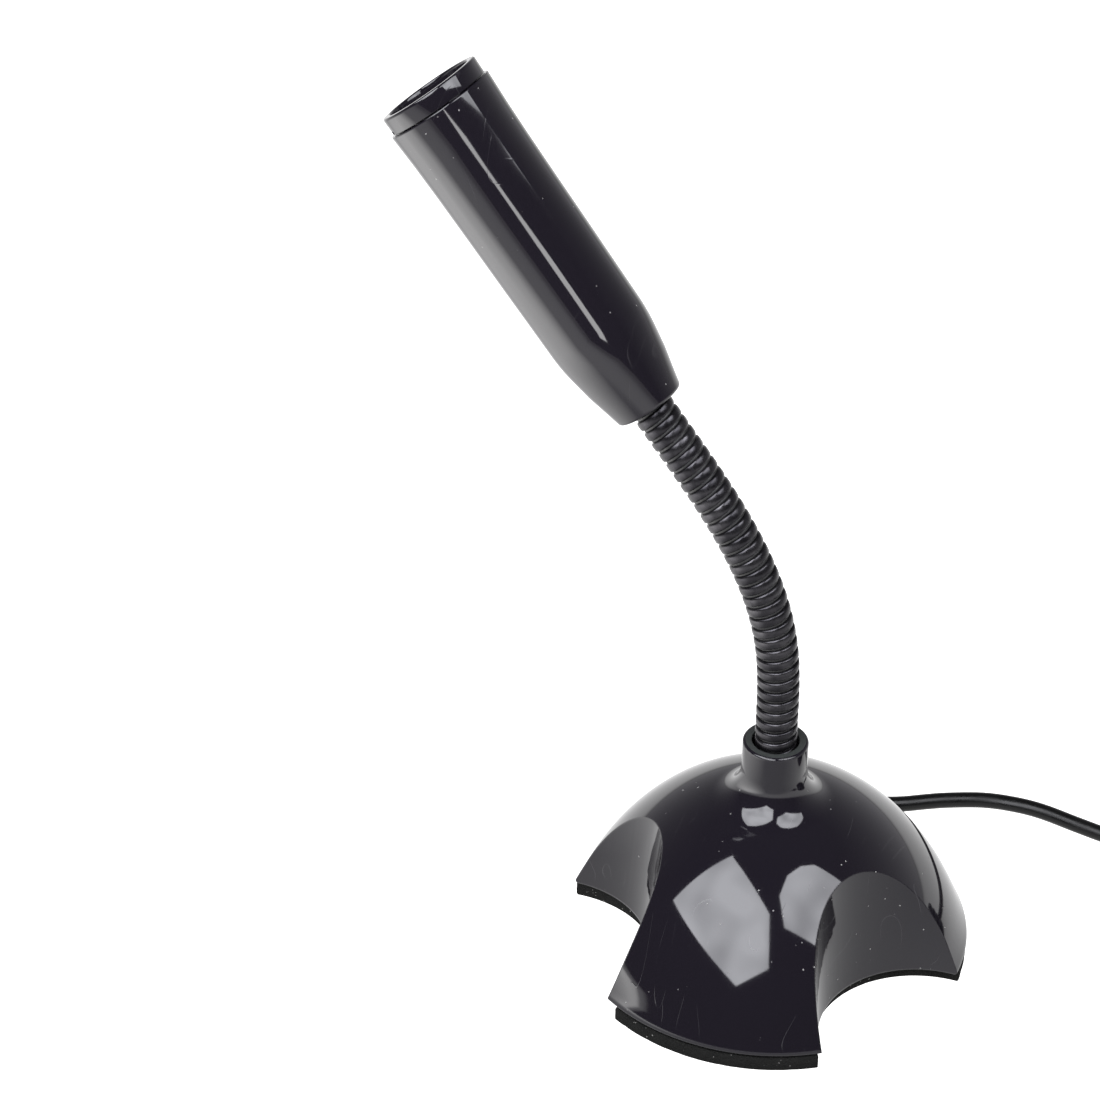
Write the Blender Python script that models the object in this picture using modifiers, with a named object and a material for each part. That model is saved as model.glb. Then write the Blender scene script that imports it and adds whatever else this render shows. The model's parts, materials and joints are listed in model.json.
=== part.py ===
"""Desktop microphone on a bendable gooseneck stand, with a thin audio lead and a 3.5 mm plug.

Metres, +Z up. The origin is on the desk, on the axis of the round base. The front leg points about to -Y,
and the lead leaves through the back scallop at +Y. The neck leans to the left, almost along -X, in a
vertical plane. It is a chain of short links: odd joints bend it in its plane, and even ones sideways.
"""

import math

import bmesh
import bpy
from mathutils import Vector

MM = 0.001
GAP = 0.3 * MM  # between pieces that touch

# Base
BASE_RADIUS = 33.0 * MM
FOAM_THICK = 2.6 * MM
FOAM_RADIUS = 32.7 * MM
SHELL_BOTTOM = FOAM_THICK + GAP
SHELL_WALL = 1.8 * MM
DOME_WIDE = 35.51 * MM  # half the width of the ellipse that the dome's outline follows
DOME_TALL = 45.0 * MM  # half its height
SKIRT_LEAN = math.radians(24)  # of the straight skirt below the dome, from upright
SKIRT_ANGLE = math.atan(DOME_TALL / DOME_WIDE * math.tan(SKIRT_LEAN))  # of the ellipse at the skirt's top
SKIRT_TOP = SHELL_BOTTOM + (BASE_RADIUS - DOME_WIDE * math.cos(SKIRT_ANGLE)) / math.tan(SKIRT_LEAN)
DOME_CENTRE = SKIRT_TOP - DOME_TALL * math.sin(SKIRT_ANGLE)
SCALLOP_RADIUS = 16.7 * MM  # at the shell's bottom edge
SCALLOP_DISTANCE = 36.8 * MM  # from the base's axis to a scallop's axis
SCALLOP_DRAFT = math.radians(5.1)
BASE_TURN = 1.2  # of the base's scallops and legs about Z, in degrees
SCALLOP_ANGLES = [math.radians(a + BASE_TURN) for a in (90, 210, 330)]
LEG_ANGLES = [math.radians(a + BASE_TURN) for a in (270, 30, 150)]
MAT_INSET = 1.2 * MM  # of the foam mat behind the shell in a scallop
MAT_TURN = math.radians(1.2)  # of the mat beyond the shell, as it was stuck on
CAVITY_TOP = 27.0 * MM
PLATE_THICK = 1.8 * MM
PLATE_RADIUS = 29.8 * MM
BOSS_PLACE = 25.0 * MM  # distance of a screw boss from the base's axis
BOSS_RADIUS = 2.4 * MM
BOSS_TOP = 13.5 * MM
SCREW_RADIUS = 0.9 * MM
SCREW_HOLE_TOP = 11.5 * MM
BALLAST_RADIUS = 16.0 * MM
BALLAST_THICK = 7.5 * MM

# Collar and neck
COLLAR_RADIUS = 5.25 * MM
COLLAR_TOP = 40.4 * MM
COLLAR_FILLET = 7.0 * MM
NECK_RADIUS = 3.3 * MM
NECK_BORE = 1.9 * MM
NECK_FOOT = 17.0 * MM  # height of the neck's lower end, inside the base
NECK_SOCKET_GAP = 0.4 * MM
FERRULE_TOP = 31.0 * MM  # of the ferrule crimped on the neck's foot
BALL_MOUTH = 2.75 * MM  # radius of the flared mouth in the top of a link's ball
LEAD_RADIUS = 1.3 * MM
FIRST_JOINT = 44.0 * MM
LINK_LENGTH = 6.9 * MM
LEAN_AZIMUTH = math.radians(176)
REST_BENDS = [math.radians(a) for a in (0, 4, 9, 9, 7.5, 5.5, 3.5, 1.5, -0.5)]

# Head, measured along its own axis from its tail
TAIL_OFFSET = 3.8 * MM  # from the last joint to the head's tail
HEAD_LENGTH = 58.4 * MM
RING_LENGTH = 2.6 * MM
RING_RADIUS = 8.25 * MM
RING_BORE = 6.9 * MM
BARREL_WALL = 1.7 * MM
BARREL_OUTLINE = [  # distance from the tail and outer radius, in mm
    (55.45, 8.55), (55.1, 8.70), (50.0, 8.47), (44.0, 8.34), (30.0, 8.17), (13.0, 7.99),
    (11.6, 7.90), (10.0, 7.72), (6.5, 7.02), (1.0, 5.74), (0.4, 5.50), (0.0, 5.05),
]
FERRULE_WALL = 0.7 * MM
CAPSULE_RADIUS = 4.85 * MM
CAPSULE_LENGTH = 6.7 * MM
CAPSULE_FRONT = 52.2 * MM
GRILLE_FRONT = 57.1 * MM

# Cord
CORD_RADIUS = 1.35 * MM
CORD_LIE = 1.4 * MM  # height of its centre where it lies on the desk
INLET_HEIGHT = 7.6 * MM
INLET_RADIUS = 2.25 * MM  # of the hole in the back scallop
RELIEF_END = 27.0 * MM
COIL_CENTRE = Vector((72.0, 26.0, 0.0)) * MM
COIL_COLUMNS = 3
COIL_ROWS = 4
COIL_MEAN_RADIUS = 15.0 * MM
COIL_LIFT = 0.6 * MM  # the tie's band lies under the coil
CORD_ROUTE = [  # in mm, from the strain relief to where the lead meets its coil
    (0.0, 27.3, 7.6), (0.3, 29.6, 7.3), (1.3, 32.2, 6.2), (3.1, 34.6, 4.4), (5.6, 36.8, 2.7),
    (8.4, 38.6, 1.7), (11.4, 40.3, 1.4), (14.6, 42.2, 1.4), (18.1, 44.1, 1.4), (23.7, 46.4, 1.4),
    (29.0, 47.3, 1.4), (34.0, 47.2, 1.4), (40.5, 45.9, 1.4), (46.5, 44.8, 1.4), (53.0, 44.1, 1.5),
    (58.0, 43.85, 1.7), (62.0, 43.8, 1.85),
]
TAIL_ROUTE = [  # in mm, from the coil to the plug
    (89.05, 13.4, 8.6), (89.15, 11.0, 7.2), (89.5, 8.8, 5.6), (89.85, 7.0, 4.6), (90.0, 5.3, 4.2),
]
PLUG_START = Vector((90.0, 5.0, 4.2)) * MM
PLUG_BOOT = 6.0 * MM
PLUG_GRIP = 15.0 * MM
PLUG_GRIP_RADIUS = 4.1 * MM
JACK_RADIUS = 1.75 * MM

ROUND = 32  # sides of a turned piece
FINE = 48
SMALL = 16


def clear_scene():
    for thing in list(bpy.data.objects):
        bpy.data.objects.remove(thing, do_unlink=True)


def collection(name):
    made = bpy.data.collections.new(name)
    bpy.context.scene.collection.children.link(made)
    return made


def material(name, colour, roughness, metallic=0.0):
    made = bpy.data.materials.new(name)
    made.use_nodes = True
    shader = made.node_tree.nodes["Principled BSDF"]
    shader.inputs["Base Color"].default_value = (*colour, 1.0)
    shader.inputs["Roughness"].default_value = roughness
    shader.inputs["Metallic"].default_value = metallic
    made.diffuse_color = (*colour, 1.0)
    return made


def mesh_object(name, mesh, finish=None, parent=None, place=(0, 0, 0), turn=(0, 0, 0)):
    """A named object in the model's collection, or in the cutters' one when it has no finish."""
    made = bpy.data.objects.new(name, mesh)
    if finish is None:
        cutters.objects.link(made)
        made.hide_render = True
        made.display_type = "WIRE"
    else:
        model.objects.link(made)
        mesh.materials.append(finish)
    made.parent = parent
    made.location = place
    made.rotation_euler = turn
    return made


def turned(name, profile, finish=None, loop=True, sides=ROUND, **placing):
    """A piece turned round its local Z axis. The profile's (radius, height) points run down the outer side;
    a loop comes back up the bore, and an open profile starts and ends on the axis."""
    mesh = bpy.data.meshes.new(name)
    count = len(profile)
    edges = [(i, i + 1) for i in range(count - 1)]
    if loop:
        edges.append((count - 1, 0))
    mesh.from_pydata([(radius, 0, height) for radius, height in profile], edges, [])
    made = mesh_object(name, mesh, finish, **placing)
    screw = made.modifiers.new("turn", "SCREW")
    screw.axis = "Z"
    screw.angle = 2 * math.pi
    screw.steps = sides
    screw.render_steps = sides
    screw.use_merge_vertices = True
    screw.merge_threshold = 0.000001
    screw.use_smooth_shade = True
    return made


def solid_rod(radius, low, high):
    """The open profile of a plain rod."""
    return [(0, high), (radius, high), (radius, low), (0, low)]


def sleeve(outer, bore, low, high):
    """The closed profile of a plain sleeve."""
    return [(outer, high), (outer, low), (bore, low), (bore, high)]


def arc(centre, radius, start, end, steps):
    """(radius, height) points along an arc, with its angles in degrees from the outward direction."""
    angles = [math.radians(start + (end - start) * i / steps) for i in range(steps + 1)]
    return [(centre[0] + radius * math.cos(a), centre[1] + radius * math.sin(a)) for a in angles]


def posts(name, places, radius_low, radius_high, low, high, sides=FINE):
    """Upright round posts, or cones, in one cutter."""
    shape = bmesh.new()
    for x, y in places:
        made = bmesh.ops.create_cone(shape, cap_ends=True, segments=sides, radius1=radius_low,
                                     radius2=radius_high, depth=high - low)
        bmesh.ops.translate(shape, verts=made["verts"], vec=(x, y, (low + high) / 2))
    mesh = bpy.data.meshes.new(name)
    shape.to_mesh(mesh)
    shape.free()
    return mesh_object(name, mesh)


def block(name, size, centre):
    """A box-shaped cutter."""
    shape = bmesh.new()
    bmesh.ops.create_cube(shape, size=1.0)
    bmesh.ops.scale(shape, verts=shape.verts, vec=size)
    bmesh.ops.translate(shape, verts=shape.verts, vec=centre)
    mesh = bpy.data.meshes.new(name)
    shape.to_mesh(mesh)
    shape.free()
    return mesh_object(name, mesh)


def combine(target, tool, how="DIFFERENCE"):
    boolean = target.modifiers.new(how.lower() + "_" + tool.name, "BOOLEAN")
    boolean.operation = how
    boolean.solver = "EXACT"
    boolean.object = tool


def at_angles(distance, angles):
    return [(distance * math.cos(a), distance * math.sin(a)) for a in angles]


def smooth_line(route, spacing):
    """Points about spacing apart on a smooth curve through the route's own points."""
    points = [Vector(p) * MM for p in route]
    ends = [2 * points[0] - points[1]] + points + [2 * points[-1] - points[-2]]
    line = [points[0]]
    for before, start, end, after in zip(ends, ends[1:], ends[2:], ends[3:]):
        steps = max(1, round((end - start).length / spacing))
        for i in range(1, steps + 1):
            t = i / steps
            line.append(0.5 * (2 * start + (end - before) * t
                               + (2 * before - 5 * start + 4 * end - after) * t * t
                               + (3 * start - before - 3 * end + after) * t * t * t))
    return line


def tube(name, line, radius, finish):
    """A round lead along a line of points."""
    curve = bpy.data.curves.new(name, "CURVE")
    curve.dimensions = "3D"
    curve.bevel_depth = radius
    curve.bevel_resolution = 2
    curve.use_fill_caps = True
    spline = curve.splines.new("POLY")
    spline.points.add(len(line) - 1)
    for point, where in zip(spline.points, line):
        point.co = (*where, 1.0)
    curve.materials.append(finish)
    made = bpy.data.objects.new(name, curve)
    model.objects.link(made)
    return made


def scallops(name, extra, low, high, turn=0.0):
    """Three upright cones round the base, wider towards the top, extra wider than the shell's scallops."""
    def radius(height):
        return SCALLOP_RADIUS + extra + (height - SHELL_BOTTOM) * math.tan(SCALLOP_DRAFT)
    places = at_angles(SCALLOP_DISTANCE, [angle + turn for angle in SCALLOP_ANGLES])
    return posts(name, places, radius(low), radius(high), low, high, FINE)


def dome_line(start, end, steps, inset=0.0):
    """(radius, height) points of the dome's outline, inset by a wall, between two of the ellipse's angles."""
    wide, tall = DOME_WIDE - inset, DOME_TALL - inset
    angles = [start + (end - start) * i / steps for i in range(steps + 1)]
    return [(wide * math.cos(a), DOME_CENTRE + tall * math.sin(a)) for a in angles]


def fillet_foot():
    """Where the collar's fillet runs out into the dome: (the ellipse's angle, the dome's normal there, the
    height of the fillet's centre)."""
    low, high = math.radians(45), math.radians(90)
    for _ in range(40):
        angle = (low + high) / 2
        normal = math.atan2(math.sin(angle) / DOME_TALL, math.cos(angle) / DOME_WIDE)
        if DOME_WIDE * math.cos(angle) + COLLAR_FILLET * math.cos(normal) > COLLAR_RADIUS + COLLAR_FILLET:
            low = angle
        else:
            high = angle
    return angle, normal, DOME_CENTRE + DOME_TALL * math.sin(angle) + COLLAR_FILLET * math.sin(normal)


def dome_profile():
    """The shell's outer line, from the top of the collar down to the bottom edge and back to the axis."""
    foot, normal, fillet_height = fillet_foot()
    rim = 0.6 * MM
    top = [(0, COLLAR_TOP)] + arc((COLLAR_RADIUS - rim, COLLAR_TOP - rim), rim, 90, 0, 3)
    across = COLLAR_RADIUS + COLLAR_FILLET
    fillet = arc((across, fillet_height), COLLAR_FILLET, 180, 180 + math.degrees(normal), 8)
    skirt = [(BASE_RADIUS, SHELL_BOTTOM), (0, SHELL_BOTTOM)]
    return top + fillet + dome_line(foot, SKIRT_ANGLE, 14)[1:] + skirt


def cavity_profile():
    """The space inside the shell: a flat top, the dome less its wall, and an open bottom."""
    high = math.asin((CAVITY_TOP - DOME_CENTRE) / (DOME_TALL - SHELL_WALL))
    curve = dome_line(high, SKIRT_ANGLE, 10, SHELL_WALL)
    foot = BASE_RADIUS - SHELL_WALL / math.cos(SKIRT_LEAN)
    floor = SHELL_BOTTOM - 1 * MM
    return [(0, CAVITY_TOP)] + curve + [(foot, SHELL_BOTTOM), (foot, floor), (0, floor)]


def make_shell():
    shell = turned("base_shell", dome_profile(), gloss_black, loop=False, sides=FINE)
    combine(shell, scallops("scallop_cutter", 0, -1 * MM, 30 * MM))
    cavity = turned("cavity_cutter", cavity_profile(), loop=False, sides=FINE)
    combine(cavity, scallops("wall_cutter", SHELL_WALL, -2 * MM, 31 * MM))
    combine(shell, cavity)
    places = at_angles(BOSS_PLACE, LEG_ANGLES)
    low = SHELL_BOTTOM + PLATE_THICK + GAP
    combine(shell, posts("boss_adder", places, BOSS_RADIUS, BOSS_RADIUS, low, BOSS_TOP, SMALL), "UNION")
    hole = SCREW_RADIUS + GAP
    combine(shell, posts("boss_drill", places, hole, hole, low - 1 * MM, SCREW_HOLE_TOP, SMALL))
    bore = NECK_RADIUS + NECK_SOCKET_GAP
    step = NECK_RADIUS + 1.0 * MM
    step_top = FERRULE_TOP + GAP
    combine(shell, turned("collar_drill", [
        (0, COLLAR_TOP + 1 * MM), (bore, COLLAR_TOP + 1 * MM), (bore, step_top), (step, step_top),
        (step, CAVITY_TOP - 2 * MM), (0, CAVITY_TOP - 2 * MM)], loop=False))
    combine(shell, turned("inlet_drill", solid_rod(INLET_RADIUS, 16 * MM, 22 * MM), loop=False, sides=SMALL,
                          place=(0, 0, INLET_HEIGHT), turn=(-math.pi / 2, 0, 0)))


def make_plate():
    """The closing plate, with countersunk holes under the bosses."""
    top = SHELL_BOTTOM + PLATE_THICK
    plate = turned("base_plate", solid_rod(PLATE_RADIUS, SHELL_BOTTOM, top), matt_black, loop=False, sides=FINE)
    combine(plate, scallops("plate_cutter", SHELL_WALL + GAP + 0.2 * MM, -1 * MM, 10 * MM))
    sink = [(0, 12 * MM), (1.25 * MM, 12 * MM), (1.25 * MM, top - 0.5 * MM), (2.6 * MM, SHELL_BOTTOM),
            (2.6 * MM, SHELL_BOTTOM - 1 * MM), (0, SHELL_BOTTOM - 1 * MM)]
    screw = [(0, 10.8 * MM), (0.5 * MM, 10.8 * MM), (SCREW_RADIUS, 9.8 * MM),
             (SCREW_RADIUS, top - 0.35 * MM), (2.1 * MM, SHELL_BOTTOM + 0.15 * MM),
             (0, SHELL_BOTTOM + 0.15 * MM)]
    for i, (x, y) in enumerate(at_angles(BOSS_PLACE, LEG_ANGLES), 1):
        combine(plate, turned(f"countersink_{i}", sink, loop=False, sides=SMALL, place=(x, y, 0)))
        turned(f"plate_screw_{i}", screw, zinc_steel, loop=False, sides=SMALL, place=(x, y, 0))


def make_foam_mat():
    """The soft mat under the base, stuck on a little turned."""
    mat = turned("foam_mat", solid_rod(FOAM_RADIUS, 0, FOAM_THICK), foam_black, loop=False, sides=64)
    combine(mat, scallops("mat_cutter", MAT_INSET, -1 * MM, 10 * MM, MAT_TURN))


def make_ballast():
    """An iron slug, slotted for the lead from its middle to its back."""
    low = SHELL_BOTTOM + PLATE_THICK + GAP
    high = low + BALLAST_THICK
    slug = turned("ballast_weight", solid_rod(BALLAST_RADIUS, low, high), cast_iron, loop=False)
    slot_width = 7.5 * MM
    combine(slug, posts("slug_drill", [(0, 0)], 5.2 * MM, 5.2 * MM, low - 1 * MM, high + 1 * MM))
    combine(slug, block("slug_slot", (slot_width, 20 * MM, 12 * MM), (0, 12 * MM, (low + high) / 2)))


def make_inlet():
    """The strain relief in the back scallop, and the cable tie that stops the lead inside."""
    relief = [
        (0, RELIEF_END), (1.5 * MM, RELIEF_END), (1.75 * MM, RELIEF_END - 0.4 * MM), (2.3 * MM, 21.4 * MM),
        (3.0 * MM, 21.2 * MM), (3.0 * MM, 20.15 * MM), (1.95 * MM, 20.15 * MM), (1.95 * MM, 17.5 * MM),
        (2.7 * MM, 17.5 * MM), (2.7 * MM, 16.4 * MM), (0, 16.4 * MM),
    ]
    turned("strain_relief", relief, cord_black, loop=False, sides=SMALL,
           place=(0, 0, INLET_HEIGHT), turn=(-math.pi / 2, 0, 0))
    tie = turned("cable_tie", sleeve(2.4 * MM, 1.6 * MM, 11.6 * MM, 14.1 * MM), nylon, sides=SMALL,
                 place=(0, 0, INLET_HEIGHT), turn=(-math.pi / 2, 0, 0))
    combine(tie, block("tie_lock", (2.4 * MM, 2.9 * MM, 2.4 * MM), (0, 12.85 * MM, INLET_HEIGHT + 3.2 * MM)),
            "UNION")


def cup_end():
    """The cup at the bottom of a link, round the ball of the link below, from its edge in to the bore."""
    cup = NECK_RADIUS + GAP
    edge = math.degrees(math.acos(NECK_RADIUS / cup))
    bore = math.degrees(math.acos(NECK_BORE / cup))
    return arc((0, 0), cup, edge, bore, 5)


def ball_end(joint):
    """The ball at the top of a link, from the foot of its flared mouth over to the link's outer side."""
    mouth = math.degrees(math.acos(BALL_MOUTH / NECK_RADIUS))
    return [(NECK_BORE, joint)] + arc((0, joint), NECK_RADIUS, mouth, 0, 4)


def make_neck():
    """The neck's links, each under the empty on its joint, with its stretch of the lead inside. Returns the
    empty of the last joint, which carries the head."""
    foot = ball_end(FIRST_JOINT) + [(NECK_RADIUS, NECK_FOOT), (NECK_BORE, NECK_FOOT)]
    turned("neck_foot", foot, black_steel, sides=SMALL)
    joint, place = None, (0, 0, FIRST_JOINT)
    for i, bend in enumerate(REST_BENDS, 1):
        pivot = bpy.data.objects.new(f"joint_{i}", None)
        model.objects.link(pivot)
        pivot.parent = joint
        pivot.location = place
        pivot.rotation_euler = (0, bend, 0 if joint else LEAN_AZIMUTH)
        pivot.empty_display_size = 4 * MM
        joint, place = pivot, (0, 0, LINK_LENGTH)
        if i < len(REST_BENDS):
            link = ball_end(LINK_LENGTH) + cup_end()
            turned(f"neck_link_{i}", link, black_steel, sides=SMALL, parent=joint)
            segment = solid_rod(LEAD_RADIUS, 0.5 * MM, LINK_LENGTH - 0.5 * MM)
            turned(f"lead_segment_{i}", segment, cord_black, loop=False, sides=8, parent=joint)
    return joint


def make_neck_lock():
    """The crimped ferrule on the neck's foot and the star washer that locks it under the crown."""
    bore = NECK_RADIUS + GAP
    turned("foot_ferrule", sleeve(bore + 0.45 * MM, bore, NECK_FOOT, FERRULE_TOP), zinc_steel)
    washer_bore = bore + 0.45 * MM + 0.2 * MM
    turned("star_washer", sleeve(8.2 * MM, washer_bore, CAVITY_TOP - 1.0 * MM, CAVITY_TOP - GAP), zinc_steel)


def make_head(joint):
    """Everything on the last joint: the head with the mic capsule, and the neck's upper end."""
    tail = TAIL_OFFSET
    barrel_front = HEAD_LENGTH - RING_LENGTH - 0.4 * MM
    outline = [(radius * MM, tail + along * MM) for along, radius in BARREL_OUTLINE]
    inner = BARREL_OUTLINE[2][1] * MM - BARREL_WALL
    bore = NECK_RADIUS + NECK_SOCKET_GAP
    seat = NECK_RADIUS + GAP + FERRULE_WALL + GAP
    inside = [(bore, tail), (bore, tail + 4.6 * MM), (seat, tail + 4.6 * MM), (seat, tail + 6.5 * MM),
              (inner - 0.4 * MM, tail + 14 * MM), (inner, tail + barrel_front)]
    turned("head_barrel", outline + inside, gloss_black, parent=joint)

    end = tail + 11.5 * MM
    turned("neck_head_end", [(NECK_BORE, end), (NECK_RADIUS, end)] + cup_end(), black_steel, sides=SMALL,
           parent=joint)
    crimp = NECK_RADIUS + GAP
    ferrule = sleeve(crimp + FERRULE_WALL, crimp, tail + 4.9 * MM, tail + 11.8 * MM)
    turned("head_ferrule", ferrule, zinc_steel, parent=joint)
    capsule_back = tail + CAPSULE_FRONT - CAPSULE_LENGTH
    turned("lead_head", solid_rod(LEAD_RADIUS, 0.5 * MM, capsule_back - 1.2 * MM), cord_black, loop=False,
           sides=8, parent=joint)

    capsule = solid_rod(CAPSULE_RADIUS, capsule_back, tail + CAPSULE_FRONT)
    turned("mic_capsule", capsule, aluminium, loop=False, parent=joint)
    boot_outer = inner - GAP
    boot_inner = CAPSULE_RADIUS + GAP
    boot_hole = 2.4 * MM
    boot_back = capsule_back - 0.9 * MM
    boot_floor = capsule_back - GAP
    boot_front = tail + CAPSULE_FRONT
    turned("capsule_boot", [
        (boot_outer, boot_front), (boot_outer, boot_back), (boot_hole, boot_back), (boot_hole, boot_floor),
        (boot_inner, boot_floor), (boot_inner, boot_front)], rubber, parent=joint)

    front = tail + HEAD_LENGTH
    ring_back = front - RING_LENGTH
    ledge = ring_back + 0.5 * MM
    spigot = inner - GAP
    spigot_bore = spigot - 0.9 * MM
    spigot_end = tail + CAPSULE_FRONT + GAP
    edge = 0.35 * MM
    turned("front_ring", [
        (RING_RADIUS - edge, front), (RING_RADIUS, front - edge), (RING_RADIUS, ring_back),
        (spigot, ring_back), (spigot, spigot_end), (spigot_bore, spigot_end), (spigot_bore, ledge),
        (RING_BORE, ledge), (RING_BORE, front - edge), (RING_BORE + edge, front)],
        satin_black, parent=joint)
    turned("foam_disc", solid_rod(spigot_bore - GAP, spigot_end, ledge - GAP), foam_black, loop=False,
           parent=joint)
    make_grille(joint, tail + GRILLE_FRONT)


def make_grille(joint, front):
    """A thin disc with rings of round holes."""
    thick = 0.5 * MM
    disc = solid_rod(RING_BORE - GAP, front - thick, front)
    grille = turned("front_grille", disc, satin_black, loop=False, parent=joint)
    spacing = 2.3 * MM
    hole = 0.75 * MM
    places = [(0, 0)]
    for ring, count in ((1, 6), (2, 12)):
        places += at_angles(ring * spacing, [2 * math.pi * i / count for i in range(count)])
    drill = posts("grille_drill", places, hole, hole, front - 2 * thick, front + thick, 8)
    drill.parent = joint
    combine(grille, drill)


def make_leads():
    """The lead inside the base and neck foot, and the free cord outside with its coil and tie."""
    inlet = INLET_HEIGHT / MM
    inside = [
        (0, 16.0, inlet), (0, 12.8, inlet), (0, 9.0, inlet + 0.2), (0, 5.2, inlet + 1.4),
        (0, 2.2, inlet + 4.0), (0, 0.6, inlet + 7.4), (0, 0.1, inlet + 11.0), (0, 0, 22.0),
        (0, 0, 30.0), (0, 0, 38.0), (0, 0, FIRST_JOINT / MM - 0.5),
    ]
    tube("lead_in_base", smooth_line(inside, 2.5 * MM), LEAD_RADIUS, cord_black)
    tube("cord", smooth_line(CORD_ROUTE, 2.6 * MM), CORD_RADIUS, cord_black)
    tube("cord_tail", smooth_line(TAIL_ROUTE, 2.0 * MM), CORD_RADIUS, cord_black)

    half = COIL_COLUMNS * CORD_RADIUS
    outer, bore = COIL_MEAN_RADIUS + half, COIL_MEAN_RADIUS - half
    low, high = COIL_LIFT, COIL_LIFT + COIL_ROWS * 2 * CORD_RADIUS
    bevel = 1.0 * MM
    ring = [(outer - bevel, high), (outer, high - bevel), (outer, low + bevel), (outer - bevel, low),
            (bore + bevel, low), (bore, low + bevel), (bore, high - bevel), (bore + bevel, high)]
    turned("cord_coil", ring, cord_black, place=COIL_CENTRE)
    make_coil_tie(outer, bore, high)


def make_coil_tie(outer, bore, high):
    """A thin flat band round the coil's turns, as an extruded outline with a hole."""
    room = 0.35 * MM
    band = 0.4 * MM
    width = 4.0 * MM
    middle = (outer + bore) / 2
    curve = bpy.data.curves.new("coil_tie", "CURVE")
    curve.dimensions = "2D"
    curve.fill_mode = "BOTH"
    curve.extrude = width / 2
    corner = 0.8 * MM
    for thick, bottom in ((band, 0.0), (0.0, band)):
        spline = curve.splines.new("POLY")
        half = (outer - bore) / 2 + room + thick
        top = high + 0.25 * MM + thick
        outline = [(-half + corner, bottom), (half - corner, bottom), (half, bottom + corner),
                   (half, top - corner), (half - corner, top), (-half + corner, top), (-half, top - corner),
                   (-half, bottom + corner)]
        spline.points.add(len(outline) - 1)
        for point, (x, y) in zip(spline.points, outline):
            point.co = (x, y, 0, 1)
        spline.use_cyclic_u = True
    curve.materials.append(nylon)
    tie = bpy.data.objects.new("coil_tie", curve)
    model.objects.link(tie)
    angle = math.radians(-110)
    tie.location = COIL_CENTRE + Vector((middle * math.cos(angle), middle * math.sin(angle), 0))
    tie.rotation_euler = (math.pi / 2, 0, angle)


def make_plug():
    """A 3.5 mm plug on the cord's end: a moulded grip, then its three contacts with insulators between."""
    turn = (math.pi / 2, 0, 0)
    grip_start, grip_end = PLUG_BOOT, PLUG_BOOT + PLUG_GRIP
    grip = [
        (0, grip_end), (3.4 * MM, grip_end), (PLUG_GRIP_RADIUS, grip_end - 0.9 * MM),
        (PLUG_GRIP_RADIUS, grip_start + 1.4 * MM), (3.3 * MM, grip_start + 0.4 * MM), (2.5 * MM, grip_start),
        (1.8 * MM, 0.5 * MM), (1.5 * MM, 0), (0, 0),
    ]
    turned("plug_grip", grip, cord_black, loop=False, place=PLUG_START, turn=turn)
    thin = 0.15 * MM  # between the plug's stacked contacts
    start = grip_end + 0.3 * MM
    lengths = [("plug_sleeve", 8.0, nickel), ("plug_insulator_1", 0.7, insulator),
               ("plug_ring", 1.6, nickel), ("plug_insulator_2", 0.7, insulator)]
    for name, length, finish in lengths:
        radius = JACK_RADIUS if finish is nickel else JACK_RADIUS - 0.05 * MM
        turned(name, solid_rod(radius, start, start + length * MM), finish, loop=False, sides=SMALL,
               place=PLUG_START, turn=turn)
        start += length * MM + thin
    tip = [(0, 3.6), (0.5, 3.4), (1.45, 2.2), (1.45, 1.7), (1.0, 1.0), (1.7, 0.4), (1.7, 0), (0, 0)]
    turned("plug_tip", [(radius * MM, start + along * MM) for radius, along in tip], nickel, loop=False,
           sides=SMALL, place=PLUG_START, turn=turn)


clear_scene()
model = collection("desktop_mic_stand")
cutters = collection("cutters")
gloss_black = material("gloss_black", (0.012, 0.011, 0.014), 0.12)
satin_black = material("satin_black", (0.02, 0.02, 0.022), 0.35)
matt_black = material("matt_black", (0.025, 0.025, 0.027), 0.55)
foam_black = material("foam_black", (0.018, 0.018, 0.018), 0.95)
rubber = material("rubber", (0.03, 0.03, 0.03), 0.8)
cord_black = material("cord_black", (0.02, 0.02, 0.02), 0.42)
nylon = material("nylon", (0.03, 0.03, 0.03), 0.5)
insulator = material("insulator", (0.01, 0.01, 0.01), 0.4)
black_steel = material("black_steel", (0.05, 0.05, 0.052), 0.3, 0.8)
zinc_steel = material("zinc_steel", (0.6, 0.6, 0.6), 0.35, 1.0)
cast_iron = material("cast_iron", (0.12, 0.11, 0.1), 0.7, 0.8)
aluminium = material("aluminium", (0.75, 0.75, 0.76), 0.3, 1.0)
nickel = material("nickel", (0.78, 0.76, 0.72), 0.15, 1.0)

make_shell()
make_plate()
make_foam_mat()
make_ballast()
make_inlet()
make_neck_lock()
make_head(make_neck())
make_leads()
make_plug()
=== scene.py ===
"""Looks of a small desktop microphone: a slim head on a wire-wound gooseneck, on a glossy domed base.

Metres, +Z up, in the frame of the CAD model. Its sections are the camera, shapes, materials, cord, base,
neck, head and room.
"""

import json
import math

import bmesh
import bpy
from mathutils import Matrix, Vector, noise

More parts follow.
